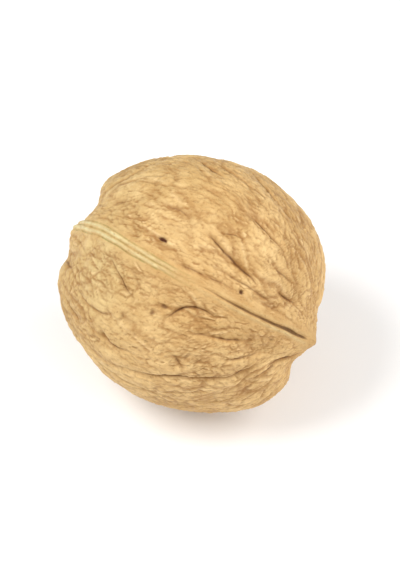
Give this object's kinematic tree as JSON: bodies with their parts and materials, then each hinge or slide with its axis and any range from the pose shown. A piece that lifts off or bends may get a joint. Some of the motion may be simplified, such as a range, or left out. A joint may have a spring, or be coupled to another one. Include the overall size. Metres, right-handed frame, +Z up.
{
  "type": "walnut",
  "caption": "Whole walnut in its shell: a nearly round, pointed nut with a raised seam between two creased cheeks, lying on a small flat spot.",
  "frame": {"origin": "centre of the small flat spot that the nut rests on", "axes": "+X along the nut towards its tip, +Z up, the upper seam leaning 35 degrees towards -Y"},
  "size_m": [0.0402, 0.038, 0.0371],
  "materials": {
    "shell": "dry, matt, light tan nut shell"
  },
  "bodies": {
    "root": {"shell": "shell"}
  },
  "joints": []
}
